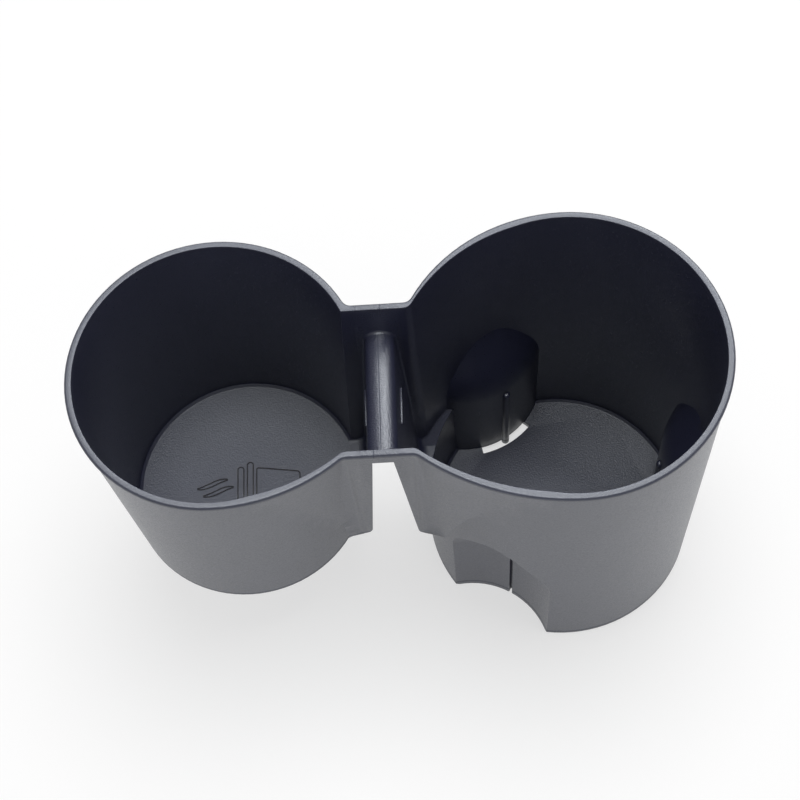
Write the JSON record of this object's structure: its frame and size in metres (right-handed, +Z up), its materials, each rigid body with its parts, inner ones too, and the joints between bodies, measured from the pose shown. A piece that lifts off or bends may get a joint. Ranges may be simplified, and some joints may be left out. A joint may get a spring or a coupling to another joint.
{
  "type": "double car cup holder",
  "caption": "Moulded plastic car console insert: a tall round cup and a shorter one joined by a hollow saddle, with ribbed gripping bumps in the tall cup.",
  "frame": {"origin": "centre of the bounding box at the level of the tall cup's base", "axes": "+X from the short cup to the tall cup, +Y away from the side with the wider neck wall, +Z up out of the cups"},
  "size_m": [0.1918, 0.092, 0.1254],
  "materials": {
    "dark_plastic": "fine moulded grain, satin"
  },
  "bodies": {
    "root": {"cup_holder": "dark_plastic"}
  },
  "joints": []
}
